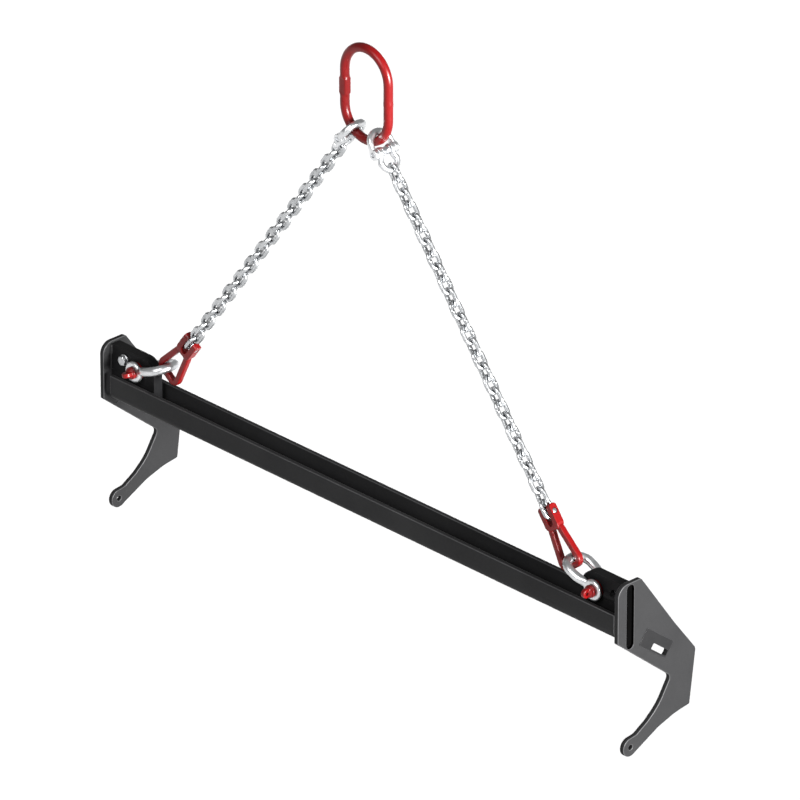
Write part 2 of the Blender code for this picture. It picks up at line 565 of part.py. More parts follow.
def ring(bm, x, z, y0, y1, r_out, r_in, n):
    """A flat ring about Y."""
    def circle(r, y):
        return [bm.verts.new((x + r * math.cos(2 * math.pi * k / n), y, z + r * math.sin(2 * math.pi * k / n))) for k in range(n)]
    ro, ri = [circle(r_out, y0), circle(r_out, y1)], [circle(r_in, y0), circle(r_in, y1)]
    for k in range(n):
        j = (k + 1) % n
        bm.faces.new((ro[0][k], ro[0][j], ro[1][j], ro[1][k]))
        bm.faces.new((ri[0][k], ri[1][k], ri[1][j], ri[0][j]))
        bm.faces.new((ro[0][k], ri[0][k], ri[0][j], ro[0][j]))
        bm.faces.new((ro[1][k], ro[1][j], ri[1][j], ri[1][k]))


for _side, _tag in ((-1, "left"), (1, "right")):
    coupling(_side, _tag)
    chain(_side, _tag)
    pear(_side, _tag)
    shackle(_side, _tag)
    lug(_side, _tag)
    end_plate(_side, _tag)
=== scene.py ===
"""Looks for the spreader beam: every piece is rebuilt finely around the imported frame.

Lengths are millimetres in the part's own datum (Z up from the end plates' lower
front corner, Y from the rigging plane, X from the master link); W() turns them into
the frame's metres.
"""
import math

import bpy
import numpy as np
from mathutils import Matrix, Vector

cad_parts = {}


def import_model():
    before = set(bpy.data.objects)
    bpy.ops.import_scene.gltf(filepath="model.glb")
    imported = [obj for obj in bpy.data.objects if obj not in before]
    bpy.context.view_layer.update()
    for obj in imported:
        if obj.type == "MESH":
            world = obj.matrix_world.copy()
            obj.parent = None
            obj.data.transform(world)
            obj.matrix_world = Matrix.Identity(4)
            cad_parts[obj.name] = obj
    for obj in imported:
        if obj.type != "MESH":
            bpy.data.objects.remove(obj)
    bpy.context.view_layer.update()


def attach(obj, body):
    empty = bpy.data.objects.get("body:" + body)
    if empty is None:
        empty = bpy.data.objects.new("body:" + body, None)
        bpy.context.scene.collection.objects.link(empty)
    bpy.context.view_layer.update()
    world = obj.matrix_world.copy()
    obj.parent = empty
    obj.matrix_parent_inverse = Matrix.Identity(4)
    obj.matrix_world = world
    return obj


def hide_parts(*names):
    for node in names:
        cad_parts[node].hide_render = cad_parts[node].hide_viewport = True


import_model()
SCENE = bpy.context.scene

# ------------------------------------------------------------------ dimensions
HOOK_Z = 684.2
MASTER_WIRE_R, MASTER_BEND_R, MASTER_STRAIGHT = 6.5, 41.5, 50.0
LOWER_BEND_Z = HOOK_Z - (MASTER_BEND_R - MASTER_WIRE_R) - MASTER_STRAIGHT

CH_WIDTH, CH_BOTTOM, CH_TOP, CH_WALL, CH_BEND_R = 46.0, 2.7, 40.7, 6.5, 13.0
CH_LEFT = -487.0
PLATE_T, PLATE_RIGHT_IN, PLATE_LEFT_IN = 7.0, 493.0, -500.0

PIN_X, PIN_Z = {-1: -447.0, 1: 444.5}, 58.0
LUG_T, LUG_R, LUG_NOSE_X = 15.4, 22.5, {-1: -414.0, 1: 417.5}
JAW, EAR_T, EAR_R, SPACER_R = 21.8, 6.9, 15.4, 12.6
SPIN_R, SWIRE_R, SBOW_R = 8.0, 6.35, 18.8
RIB_R, RIB_Z, RIB_START = 6.0, 56.0, {-1: -464.0, 1: 461.5}
BOLT_X, BOLT_Z, BOLT_R, BOLT_AF = {-1: -472.5, 1: 475.5}, {-1: 65.5, 1: 63.0}, 4.0, 13.0

BAR_X, BAR_Z, BAR_R = 393.2, 69.5, 4.5
BOW_OFFSET, PEAR_PIN = 4.0, 77.0
CLEVIS_PIN_R = 3.75
FORK_IN, FORK_OUT = 5.2, 13.6

CPL_UP_R, CPL_LO_R = 5.0, 3.8
CPL_PIN_S, CPL_LO_S = 57.0, 84.7
CPL_EYE_R, CPL_PIN_R, BUSH_R = 7.6, 3.5, 6.8

WIRE_R, LINK_HALF_W, LINKS, LINKS_PER_RUN = 3.0, 7.5, 28, 4
LEG_ANGLE = math.atan2(LOWER_BEND_Z - BAR_Z, BAR_X)
LEG_LEN = math.hypot(LOWER_BEND_Z - BAR_Z, BAR_X)
S_LINK0 = CPL_LO_S - CPL_LO_R - WIRE_R - 0.5
S_CLEVIS = LEG_LEN - PEAR_PIN
S_END = S_CLEVIS + CLEVIS_PIN_R + WIRE_R + 0.3
PITCH = (S_END - S_LINK0 - 2 * WIRE_R - 0.3) / LINKS

EYE_Y, EYE_Z, EYE_R, EYE_HOLE_R = 3.2, -163.1, 13.4, 3.9
PLATE_CORNERS = [
    (-22.7, 0.0, 1.5), (-22.7, 84.0, 17.0), (20.0, 84.0, 6.5), (85.0, -6.7, 60.0), (124.4, -57.5, 9.0),
    (113.9, -138.4, 3.0), (88.0, -141.9, 90.0), (55.3, -151.8, 60.0),
]
ARM_INNER = [(35.0, -136.0, 14.0), (56.1, -118.8, 80.0), (78.0, -83.0, 8.0)]
PAD_C, PAD_SIZE, PAD_ANGLE = (48.9, -23.3), (61.4, 25.6), math.radians(-37.5)
WIN_C, WIN_SIZE = (55.2, -35.1), (34.2, 8.7)
PAD_DEPTH, PAD_PROUD = 1.3, 0.7
SLOT_HALF, SLOT_LO, SLOT_HI = 6.6, -13.9, 81.0


def W(p):
    return (p[0] * 0.001, p[1] * 0.001, (p[2] - HOOK_Z) * 0.001)


# ------------------------------------------------------------------ materials
class Nodes:
    """Short hand for building a node tree."""
    def __init__(self, name):
        self.m = bpy.data.materials.new(name)
        self.m.use_nodes = True
        self.t = self.m.node_tree
        self.b = self.t.nodes["Principled BSDF"]
        tc = self.t.nodes.new("ShaderNodeTexCoord")
        self.obj = tc.outputs["Object"]

    def n(self, kind, **kw):
        x = self.t.nodes.new(kind)
        for k, v in kw.items():
            setattr(x, k, v)
        return x

    def link(self, a, b):
        self.t.links.new(a, b)

    def noise(self, scale, detail=2.0, rough=0.5, distort=0.0, vec=None):
        x = self.n("ShaderNodeTexNoise")
        x.inputs["Scale"].default_value = scale
        x.inputs["Detail"].default_value = detail
        x.inputs["Roughness"].default_value = rough
        x.inputs["Distortion"].default_value = distort
        self.link(vec or self.obj, x.inputs["Vector"])
        return x.outputs["Fac"]

    def ramp(self, fac, stops):
        x = self.n("ShaderNodeValToRGB")
        e = x.color_ramp.elements
        e[0].position, e[0].color = stops[0][0], stops[0][1]
        e[1].position, e[1].color = stops[-1][0], stops[-1][1]
        for p, c in stops[1:-1]:
            q = e.new(p)
            q.color = c
        self.link(fac, x.inputs["Fac"])
        return x.outputs["Color"]

    def range(self, fac, a, b, lo, hi):
        x = self.n("ShaderNodeMapRange")
        x.inputs["From Min"].default_value, x.inputs["From Max"].default_value = a, b
        x.inputs["To Min"].default_value, x.inputs["To Max"].default_value = lo, hi
        self.link(fac, x.inputs["Value"])
        return x.outputs["Result"]

    def mix(self, fac, a, b):
        x = self.n("ShaderNodeMix", data_type="RGBA")
        for src, sock in ((fac, x.inputs[0]), (a, x.inputs[6]), (b, x.inputs[7])):
            if isinstance(src, (int, float)):
                sock.default_value = src
            elif isinstance(src, tuple):
                sock.default_value = src
            else:
                self.link(src, sock)
        return x.outputs[2]

    def math(self, op, a, b=0.0):
        x = self.n("ShaderNodeMath", operation=op)
        for src, sock in ((a, x.inputs[0]), (b, x.inputs[1])):
            if isinstance(src, (int, float)):
                sock.default_value = src
            else:
                self.link(src, sock)
        return x.outputs[0]

    def bump(self, height, strength, dist, normal=None):
        x = self.n("ShaderNodeBump")
        x.inputs["Strength"].default_value = strength
        x.inputs["Distance"].default_value = dist
        self.link(height, x.inputs["Height"])
        if normal:
            self.link(normal, x.inputs["Normal"])
        return x.outputs["Normal"]

    def col(self, c):
        self.link(c, self.b.inputs["Base Color"])

    def rough(self, r):
        self.link(r, self.b.inputs["Roughness"])

    def normal(self, x):
        self.link(x, self.b.inputs["Normal"])


def c4(r, g, b):
    return (r, g, b, 1.0)


def powder(name, low, high, rough_lo, rough_hi, spec, coat=0.0):
    """Powder coat: slow tone drift, fine orange peel and faint handling marks."""
    s = Nodes(name)
    drift = s.noise(7.0, 4.0, 0.6)
    speck = s.noise(260.0, 3.0, 0.6)
    tone = s.mix(0.35, drift, speck)
    s.col(s.ramp(tone, [(0.36, c4(*low)), (0.64, c4(*high))]))
    # rubbed marks run mostly along the beam
    mp = s.n("ShaderNodeMapping")
    mp.inputs["Scale"].default_value = (6.0, 60.0, 60.0)
    s.link(s.obj, mp.inputs["Vector"])
    rub = s.noise(1.0, 5.0, 0.65, 0.4, mp.outputs["Vector"])
    s.rough(s.range(s.mix(0.5, rub, speck), 0.3, 0.7, rough_lo, rough_hi))
    peel = s.noise(750.0, 2.0, 0.5)
    grit = s.noise(2600.0, 1.0, 0.5)
    s.normal(s.bump(grit, 0.10, 0.00006, s.bump(peel, 0.16, 0.00018)))
    s.b.inputs["Specular IOR Level"].default_value = spec
    s.b.inputs["Coat Weight"].default_value = coat
    s.b.inputs["Coat Roughness"].default_value = 0.22
    return s.m


def steel(name, low, high, rough_lo, rough_hi, cell=420.0, spangle=0.10, peel=0.12):
    """Zinc on steel: small crystal cells, cloudy roughness and a soft cast skin."""
    s = Nodes(name)
    vor = s.n("ShaderNodeTexVoronoi")
    vor.inputs["Scale"].default_value = cell
    s.link(s.obj, vor.inputs["Vector"])
    sep = s.n("ShaderNodeSeparateColor")
    s.link(vor.outputs["Color"], sep.inputs["Color"])
    cloud = s.noise(55.0, 4.0, 0.6)
    fine = s.noise(520.0, 3.0, 0.6)
    tone = s.mix(spangle, cloud, sep.outputs["Red"])
    s.col(s.ramp(tone, [(0.32, c4(*low)), (0.66, c4(*high))]))
    s.rough(s.range(s.mix(0.4, cloud, fine), 0.3, 0.7, rough_lo, rough_hi))
    s.b.inputs["Metallic"].default_value = 1.0
    s.normal(s.bump(fine, peel, 0.00016, s.bump(cloud, 0.10, 0.0006)))
    return s.m


def turned(name, low, high, rough_lo, rough_hi, axis):
    """Machined zinc plate: fine lines round the turning axis."""
    s = Nodes(name)
    mp = s.n("ShaderNodeMapping")
    mp.inputs["Scale"].default_value = tuple(2400.0 if i == axis else 25.0 for i in range(3))
    s.link(s.obj, mp.inputs["Vector"])
    lines = s.noise(1.0, 3.0, 0.6, 0.0, mp.outputs["Vector"])
    cloud = s.noise(120.0, 3.0, 0.6)
    s.col(s.ramp(s.mix(0.4, cloud, lines), [(0.33, c4(*low)), (0.66, c4(*high))]))
    s.rough(s.range(lines, 0.3, 0.7, rough_lo, rough_hi))
    s.b.inputs["Metallic"].default_value = 1.0
    s.normal(s.bump(lines, 0.18, 0.00008))
    return s.m


BLACK = powder("beam_black_coat", (0.0125, 0.0125, 0.0129), (0.0170, 0.0170, 0.0174), 0.42, 0.54, 0.03)
# lighter, glossier black for the bevel faces: a painted highlight that draws bright lines along the rounded edges
BLACK_EDGE_PAINTED_HIGHLIGHT = powder("beam_black_coat_edge", (0.027, 0.027, 0.028), (0.046, 0.046, 0.047), 0.34, 0.46, 0.20)
PAD = powder("pad_black_coat", (0.0070, 0.0070, 0.0073), (0.0098, 0.0098, 0.0101), 0.42, 0.54, 0.06)
# darker black for the lugs: painted shade, standing in for the shadow on the lug sides behind the shackle ears
LUG_PAINTED_SHADE = powder("lug_black_coat_painted_shade", (0.0052, 0.0052, 0.0055), (0.0076, 0.0076, 0.0079), 0.40, 0.52, 0.04)
WELD = powder("weld_black_coat", (0.0095, 0.0095, 0.0098), (0.0143, 0.0143, 0.0146), 0.36, 0.50, 0.10)
RED = powder("rigging_red_coat", (0.084, 0.0011, 0.0013), (0.110, 0.0019, 0.0022), 0.26, 0.36, 0.22, 0.03)
# lighter red meant for bevel faces: a painted highlight along edges (defined here, not given to any part)
RED_EDGE_PAINTED_HIGHLIGHT = powder("rigging_red_coat_edge", (0.17, 0.008, 0.009), (0.22, 0.018, 0.019), 0.26, 0.38, 0.45, 0.15)
ZINC = steel("galvanised_shackle", (0.50, 0.51, 0.52), (0.70, 0.71, 0.72), 0.26, 0.40)
CPL = steel("coupling_steel", (0.56, 0.57, 0.58), (0.76, 0.77, 0.78), 0.26, 0.38, 600.0, 0.08)
CHAIN = steel("chain_zinc", (0.36, 0.37, 0.38), (0.56, 0.57, 0.58), 0.22, 0.34, 900.0, 0.10, 0.10)
PIN_Y = turned("pin_steel_y", (0.42, 0.43, 0.45), (0.62, 0.63, 0.65), 0.22, 0.38, 1)
BOLT = turned("bolt_zinc_y", (0.36, 0.37, 0.38), (0.54, 0.55, 0.56), 0.28, 0.44, 1)
# near-zero black: painted shade for the deep slot in each end plate
SLOT_PAINTED_SHADE_BLACK = powder("slot_painted_shade_black", (0.0003, 0.0003, 0.0003), (0.0008, 0.0008, 0.0008), 0.80, 0.92, 0.01)


# ------------------------------------------------------------------ mesh kit
class Shape:
    """Vertices and faces in millimetres."""
    def __init__(self):
        self.v, self.f = [], []

    def add(self, verts, faces):
        o = len(self.v)
        self.v += [tuple(p) for p in verts]
        self.f += [tuple(i + o for i in f) for f in faces]
        return self

    def join(self, other):
        return self.add(other.v, other.f)


def obj(name, shape, mats, smooth=40.0, world=True):
    me = bpy.data.meshes.new(name)
    me.from_pydata([W(p) if world else p for p in shape.v], [], shape.f)
    me.update()
    fix_normals(me)
    for m in (mats if isinstance(mats, (list, tuple)) else [mats]):
        me.materials.append(m)
    ob = bpy.data.objects.new(name, me)
    SCENE.collection.objects.link(ob)
    shade(ob, smooth)
    return ob


def fix_normals(me):
    import bmesh
    bm = bmesh.new()
    bm.from_mesh(me)
    bmesh.ops.remove_doubles(bm, verts=bm.verts, dist=1e-7)
    bmesh.ops.recalc_face_normals(bm, faces=bm.faces)
    bm.to_mesh(me)
    bm.free()


def shade(ob, angle):
    ob.data.shade_smooth()
    if angle is not None:
        ob.data.set_sharp_from_angle(angle=math.radians(angle))


def panels(ob):
    """Flat panels of cut and folded pieces keep one true normal each."""
    for p in ob.data.polygons:
        if len(p.vertices) > 6 or max(abs(c) for c in p.normal) > 0.99999:
            p.use_smooth = False
    return ob


def applied(ob, angle=40.0):
    """Write the object's modifiers into its mesh."""
    bpy.context.view_layer.update()
    dg = bpy.context.evaluated_depsgraph_get()
    me = bpy.data.meshes.new_from_object(ob.evaluated_get(dg))
    me.name = ob.name
    ob.modifiers.clear()
    ob.data = me
    if angle is not None:
        shade(ob, angle)
    return ob


def drop(ob):
    bpy.data.objects.remove(ob, do_unlink=True)


def cut(ob, shapes, op="DIFFERENCE"):
    """Exact Boolean with closed shapes, one after another, applied."""
    for i, s in enumerate(shapes):
        t = obj("%s_tool_%d" % (ob.name, i), s, ob.data.materials[0] if ob.data.materials else ZINC, None)
        m = ob.modifiers.new("cut", "BOOLEAN")
        m.operation, m.solver, m.object = op, "EXACT", t
        applied(ob, None)
        drop(t)
    return ob


def bevel(ob, width, segments=3, angle=38.0, mat=-1, smooth=40.0):
    m = ob.modifiers.new("bevel", "BEVEL")
    m.width, m.segments, m.limit_method, m.angle_limit = width * 0.001, segments, "ANGLE", math.radians(angle)
    m.harden_normals = False
    m.use_clamp_overlap = True
    # the bevel's own faces take material slot mat; where callers give slot 1 that is the lighter edge coat, a painted
    # highlight along the rounded edges
    m.material = mat
    return panels(applied(ob, smooth))


def forged(name, shapes, mat, voxel=0.5, passes=6, bores=(), smooth=50.0):
    """Fuse overlapping closed shapes into one skin with forged fillets, then bore it."""
    s = Shape()
    for x in shapes:
        s.join(x)
    ob = obj(name, s, mat, None)
    m = ob.modifiers.new("fuse", "REMESH")
    m.mode, m.voxel_size, m.use_smooth_shade = "VOXEL", voxel * 0.001, True
    if passes:
        k = ob.modifiers.new("relax", "SMOOTH")
        k.factor, k.iterations = 0.5, passes
    applied(ob, None)
    ob.data.materials.clear()
    ob.data.materials.append(mat)
    if bores:
        cut(ob, bores)
    shade(ob, smooth)
    return ob


def tube(pts, plane_n, sides, closed, r_in, r_n, power=2.0, phase=0.0):
    """Sweep a superellipse along a planar path. power 2 is round, 4 is boxy."""
    P = np.array([tuple(p) for p in pts], float)
    n = len(P)
    nv = np.array(plane_n, float)
    nv /= np.linalg.norm(nv)
    if closed:
        T = np.roll(P, -1, 0) - np.roll(P, 1, 0)
    else:
        T = np.gradient(P, axis=0)
    T /= np.linalg.norm(T, axis=1)[:, None]
    B = np.cross(nv, T)
    ri = np.broadcast_to(np.array(r_in, float), (n,))
    rn = np.broadcast_to(np.array(r_n, float), (n,))
    pw = np.broadcast_to(np.array(power, float), (n,))
    a = phase + 2 * np.pi * np.arange(sides) / sides
    c, s = np.cos(a), np.sin(a)
    verts = []
    for i in range(n):
        e = 2.0 / pw[i]
        x = np.sign(s) * np.abs(s) ** e * ri[i]
        y = np.sign(c) * np.abs(c) ** e * rn[i]
        verts.append(P[i] + np.outer(x, B[i]) + np.outer(y, nv))
    verts = np.concatenate(verts)
    faces = []
    for i in range(n if closed else n - 1):
        p, q = i * sides, ((i + 1) % n) * sides
        for k in range(sides):
            l = (k + 1) % sides
            faces.append((p + k, p + l, q + l, q + k))
    if not closed:
        faces.append(tuple(range(sides))[::-1])
        faces.append(tuple(range((n - 1) * sides, n * sides)))
    return Shape().add(verts, faces)


def smoothstep(x, a, b):
    t = np.clip((x - a) / (b - a), 0.0, 1.0)
    return t * t * (3 - 2 * t)


def even(path, n, closed=False):
    """n points at equal spacing along a polyline."""
    P = np.array([tuple(p) for p in path], float)
    if closed:
        P = np.vstack([P, P[:1]])
    d = np.r_[0, np.cumsum(np.linalg.norm(np.diff(P, axis=0), axis=1))]
    t = np.linspace(0, d[-1], n + 1)[:-1] if closed else np.linspace(0, d[-1], n)
    return np.stack([np.interp(t, d, P[:, k]) for k in range(P.shape[1])], 1)


def eased(path, n, closed, passes):
    """Evenly spaced points with their corners relaxed into curves."""
    P = even(path, n, closed)
    for _ in range(passes):
        Q = P.copy()
        if closed:
            Q = 0.5 * P + 0.25 * (np.roll(P, 1, 0) + np.roll(P, -1, 0))
        else:
            Q[1:-1] = 0.5 * P[1:-1] + 0.25 * (P[:-2] + P[2:])
        P = Q
    return P


def lathe(centre, axis, prof, sides=48, radial=None):
    """Turn (h, r) points round an axis; r 0 closes on the axis."""
    c, ax = Vector(centre), Vector(axis).normalized()
    ref = Vector((0, 0, 1)) if abs(ax.z) < 0.9 else Vector((1, 0, 0))
    u = ax.cross(ref).normalized()
    w = ax.cross(u)
    s = Shape()
    rings, verts = [], []
    for h, r in prof:
        if r < 1e-6:
            rings.append([len(verts)])
            verts.append(c + ax * h)
        else:
            rings.append(list(range(len(verts), len(verts) + sides)))
            for k in range(sides):
                t = 2 * math.pi * k / sides
                rr = r if radial is None else radial(h, r, t)
                verts.append(c + ax * h + (u * math.cos(t) + w * math.sin(t)) * rr)
    faces = []
    closed = prof[0][1] > 1e-6
    m = len(rings) if closed else len(rings) - 1
    for i in range(m):
        a, b = rings[i], rings[(i + 1) % len(rings)]
        for k in range(sides):
            l = (k + 1) % sides
            if len(a) == 1 and len(b) == 1:
                continue
            if len(a) == 1:
                faces.append((a[0], b[l], b[k]))
            elif len(b) == 1:
                faces.append((a[k], a[l], b[0]))
            else:
                faces.append((a[k], a[l], b[l], b[k]))
    return s.add(verts, faces)


def cyl(c0, c1, r, sides=48):
    c0, c1 = Vector(c0), Vector(c1)
    h = (c1 - c0).length
    return lathe(c0, c1 - c0, [(0, 0), (0, r), (h, r), (h, 0)], sides)


def round_cyl(c0, c1, r, e, sides=48, seg=4):
    """Cylinder with rounded rims of radius e."""
    c0, c1 = Vector(c0), Vector(c1)
    h = (c1 - c0).length
    prof = [(0, 0)] + [(e - e * math.cos(math.pi / 2 * i / seg), r - e + e * math.sin(math.pi / 2 * i / seg)) for i in range(seg + 1)]
    prof += [(h - e + e * math.sin(math.pi / 2 * i / seg), r - e + e * math.cos(math.pi / 2 * i / seg)) for i in range(seg + 1)] + [(h, 0)]
    return lathe(c0, c1 - c0, prof, sides)


def prism(outline, axis, lo, hi):
    def put(p, h):
        return (h, p[0], p[1]) if axis == 0 else (p[0], h, p[1])
    n = len(outline)
    v = [put(p, lo) for p in outline] + [put(p, hi) for p in outline]
    f = [tuple(range(n)), tuple(range(2 * n - 1, n - 1, -1))] + [(i, i + n, (i + 1) % n + n, (i + 1) % n) for i in range(n)]
    return Shape().add(v, f)


def loft(rings):
    """Closed solid through rings of equal length, given in order."""
    n = len(rings[0])
    v = [p for r in rings for p in r]
    f = [tuple(range(n))[::-1], tuple(range(len(v) - n, len(v)))]
    for i in range(len(rings) - 1):
        for k in range(n):
            l = (k + 1) % n
            f.append((i * n + k, i * n + l, (i + 1) * n + l, (i + 1) * n + k))
    return Shape().add(v, f)


def arc2(cx, cy, r, a0, a1, n):
    return [(cx + r * math.cos(math.radians(a0 + (a1 - a0) * i / n)), cy + r * math.sin(math.radians(a0 + (a1 - a0) * i / n))) for i in range(n + 1)]


def rounded(corners, step=4.0):
    """Round the corners (x, y, radius) of a polygon, one point every few degrees."""
    out = []
    n = len(corners)
    for i, (x, y, r) in enumerate(corners):
        p = Vector((x, y))
        a = (Vector(corners[i - 1][:2]) - p).normalized()
        b = (Vector(corners[(i + 1) % n][:2]) - p).normalized()
        if r <= 0:
            out.append((x, y))
            continue
        half = a.angle(b) / 2
        d = r / math.tan(half)
        c = p + (a + b).normalized() * (r / math.sin(half))
        s, e = p + a * d - c, p + b * d - c
        a0, a1 = math.atan2(s.y, s.x), math.atan2(e.y, e.x)
        da = (a1 - a0 + math.pi) % (2 * math.pi) - math.pi
        seg = max(3, int(abs(math.degrees(da)) / step))
        for k in range(seg + 1):
            t = a0 + da * k / seg
            out.append((c.x + r * math.cos(t), c.y + r * math.sin(t)))
    return out


class Leg:
    """Straight line from the lower bend's centre to the clevis link's base bar."""
    def __init__(self, side):
        self.s = side
        self.d = Vector((side * math.cos(LEG_ANGLE), 0, -math.sin(LEG_ANGLE)))
        self.n = Vector((side * math.sin(LEG_ANGLE), 0, math.cos(LEG_ANGLE)))
        self.o = Vector((0, 0, LOWER_BEND_Z))

    def at(self, s, y=0.0, n=0.0):
        return self.o + self.d * s + Vector((0, y, 0)) + self.n * n


def place(ob, body, slot, *nodes):
    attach(ob, body)
    if nodes:
        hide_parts(*nodes)
    return ob


def bead(name, pts, r, up, seed, body="beam"):
    """A weld bead: overlapping ripples laid along a path."""
    P = even(pts, max(24, int(np.linalg.norm(np.diff(np.array([tuple(p) for p in pts], float), axis=0), axis=1).sum() / 0.55)))
    n = len(P)
    d = np.r_[0, np.cumsum(np.linalg.norm(np.diff(P, axis=0), axis=1))]
    rng = np.random.default_rng(seed)
    wob = np.interp(d, np.linspace(0, d[-1], 14), rng.uniform(-0.10, 0.10, 14))
    rip = 0.09 * np.abs(np.sin(np.pi * d / 2.1 + wob * 6))
    ends = smoothstep(d, 0, 2.2) * (1 - smoothstep(d, d[-1] - 2.2, d[-1]))
    rad = r * (0.86 + rip + wob) * (0.45 + 0.55 * ends)
    s = tube(P, up, 14, False, rad, rad)
    return place(obj(name, s, WELD, 60), body, "black_powder_coat")


# ================================================================== master link
def stadium(c_lo, c_hi, r, seg):
    """Closed centre line (a, b): two half circles joined by straights."""
    lo = [(r * math.cos(math.pi + math.pi * i / seg), c_lo + r * math.sin(math.pi + math.pi * i / seg)) for i in range(seg + 1)]
    hi = [(r * math.cos(math.pi * i / seg), c_hi + r * math.sin(math.pi * i / seg)) for i in range(seg + 1)]
    return lo + hi


def master_link():
    P = even([(a, 0, b) for a, b in stadium(LOWER_BEND_Z, LOWER_BEND_Z + MASTER_STRAIGHT, MASTER_BEND_R, 90)], 240, True)
    x, z = P[:, 0], P[:, 2]
    mid = LOWER_BEND_Z + MASTER_STRAIGHT / 2
    # the forged flat on the left bar, and the weld's slight swelling on the right bar
    flat = (x < 0) * smoothstep(z, mid - 13.5, mid - 10) * (1 - smoothstep(z, mid + 10, mid + 13.5))
    swell = (x > 0) * np.exp(-((z - mid) / 3.2) ** 2)
    r_in = MASTER_WIRE_R * (1 + 0.10 * flat + 0.05 * swell)
    r_n = MASTER_WIRE_R * (1 - 0.13 * flat + 0.05 * swell)
    s = tube(P, (0, 1, 0), 48, True, r_in, r_n, 2.0 + 2.6 * flat)
    place(obj("master_link_forged", s, RED, 60), "master_link", "red_powder_coat", "master_link")


# ================================================================== couplings
def coupling(side, tag):
    leg = Leg(side)
    pin = leg.at(CPL_PIN_S)

    def arc(crown_s, r, sg, seg=28):
        c = crown_s - sg * r
        return [(c + sg * r * math.sin(math.pi * i / seg), r * math.cos(math.pi * i / seg)) for i in range(seg + 1)]

    def eye(y0, y1):
        return [round_cyl(leg.at(CPL_PIN_S, sg * y0), leg.at(CPL_PIN_S, sg * y1), CPL_EYE_R, 0.9, 48) for sg in (1, -1)]

    def web(path, inner):
        out = []
        for sg in (1, -1):
            out.append(tube([leg.at(s, sg * y) for s, y in path], leg.n, 24, False, [a for a, _ in inner], [b for _, b in inner], 2.6))
        return out

    up_s = MASTER_BEND_R - MASTER_WIRE_R - CPL_UP_R - 0.4
    A = arc(up_s, 17.5, -1)
    m = len(A)
    bulge = [3.4 + (CPL_UP_R - 3.4) * math.sin(math.pi * i / (m - 1)) ** 0.8 for i in range(m)]
    body = tube([leg.at(s, y) for s, y in A], leg.n, 28, False, bulge, [CPL_UP_R] * m, 2.2)
    arms = web([(47.0, 17.6), (50.5, 17.9), (54.0, 18.1), (57.0, 18.1)], [(3.5, 5.0), (3.4, 5.2), (3.2, 5.4), (3.1, 5.0)])
    bore = [cyl(leg.at(CPL_PIN_S, -30), leg.at(CPL_PIN_S, 30), CPL_PIN_R + 0.25, 48)]
    ob = forged(tag + "_coupling_upper_half", [body] + arms + eye(14.9, 21.3), CPL, 0.42, 5, bore)
    place(ob, "couplings", "galvanised_steel", tag + "_coupling_upper")

    A = arc(CPL_LO_S, 14.0, 1)
    m = len(A)
    bulge = [4.4 + (CPL_LO_R - 4.4) * math.sin(math.pi * i / (m - 1)) for i in range(m)]
    thick = [4.6 + (CPL_LO_R - 4.6) * min(1.0, 1.5 * math.sin(math.pi * i / (m - 1))) for i in range(m)]
    body = tube([leg.at(s, y) for s, y in A], leg.n, 28, False, bulge, thick, 2.2)
    arms = web([(72.5, 14.0), (69.8, 13.3), (67.0, 12.0), (64.0, 11.3), (57.0, 11.2)], [(4.2, 4.5), (3.9, 4.6), (3.5, 4.9), (3.2, 5.2), (3.1, 5.0)])
    ob = forged(tag + "_coupling_lower_half", [body] + arms + eye(7.9, 14.5), CPL, 0.42, 5, bore)
    place(ob, "couplings", "galvanised_steel", tag + "_coupling_lower")

    # load pin with peened ends
    e = 20.9
    prof = [(-e, 0), (-e, CPL_PIN_R - 1.3), (-e + 0.25, CPL_PIN_R - 0.6), (-e + 0.9, CPL_PIN_R), (e - 0.9, CPL_PIN_R), (e - 0.25, CPL_PIN_R - 0.6), (e, CPL_PIN_R - 1.3), (e, 0)]
    place(obj(tag + "_coupling_load_pin", lathe(pin, (0, 1, 0), prof, 40), PIN_Y, 40), "couplings", "pin_steel", tag + "_coupling_pin")
    # waisted centre bush, open bore
    r0, bore_r = BUSH_R, CPL_PIN_R + 0.25
    prof = [(-7.4, r0 - 0.4), (-7.0, r0), (-5.2, r0), (-4.2, r0 - 0.9), (-2.6, r0 - 1.3), (2.6, r0 - 1.3), (4.2, r0 - 0.9), (5.2, r0), (7.0, r0), (7.4, r0 - 0.4), (7.4, bore_r + 0.3), (7.1, bore_r), (-7.1, bore_r), (-7.4, bore_r + 0.3)]
    place(obj(tag + "_coupling_centre_bush", lathe(pin, (0, 1, 0), prof, 56), PIN_Y, 40), tag + "_bush", "pin_steel", tag + "_coupling_bush")


# ================================================================== chain
def link_mesh(name):
    """One short link in its own XY plane, first crown at the origin, +X along the leg."""
    P = even([(b, a, 0) for a, b in stadium(LINK_HALF_W, PITCH + 2 * WIRE_R - LINK_HALF_W, LINK_HALF_W, 40)], 96, True)
    mid = (PITCH + 2 * WIRE_R) / 2
    weld = (P[:, 1] > 0) * np.exp(-((P[:, 0] - mid) / 1.1) ** 2)
    r = WIRE_R * (1 + 0.10 * weld)
    s = tube(P, (0, 0, 1), 22, True, r, r)
    me = bpy.data.meshes.new(name)
    me.from_pydata([(x * 0.001, y * 0.001, z * 0.001) for x, y, z in s.v], [], s.f)
    fix_normals(me)
    me.materials.append(CHAIN)
    me.shade_smooth()
    return me


def chain(side, tag, me):
    leg = Leg(side)
    for i in range(LINKS):
        ob = bpy.data.objects.new("%s_chain_link_%02d" % (tag, i + 1), me)
        SCENE.collection.objects.link(ob)
        x, y = leg.d, (leg.n if i % 2 == 0 else Vector((0, 1, 0)))
        # welds face alternate ways, as links come off a forming machine
        if (i // 2) % 2:
            y = -y
        z = x.cross(y)
        m = Matrix((x, y, z)).transposed().to_4x4()
        m.translation = Vector(W(leg.at(S_LINK0 + i * PITCH)))
        ob.matrix_world = m
        place(ob, "legs", "chain_steel", "%s_chain_%d" % (tag, i // LINKS_PER_RUN + 1))


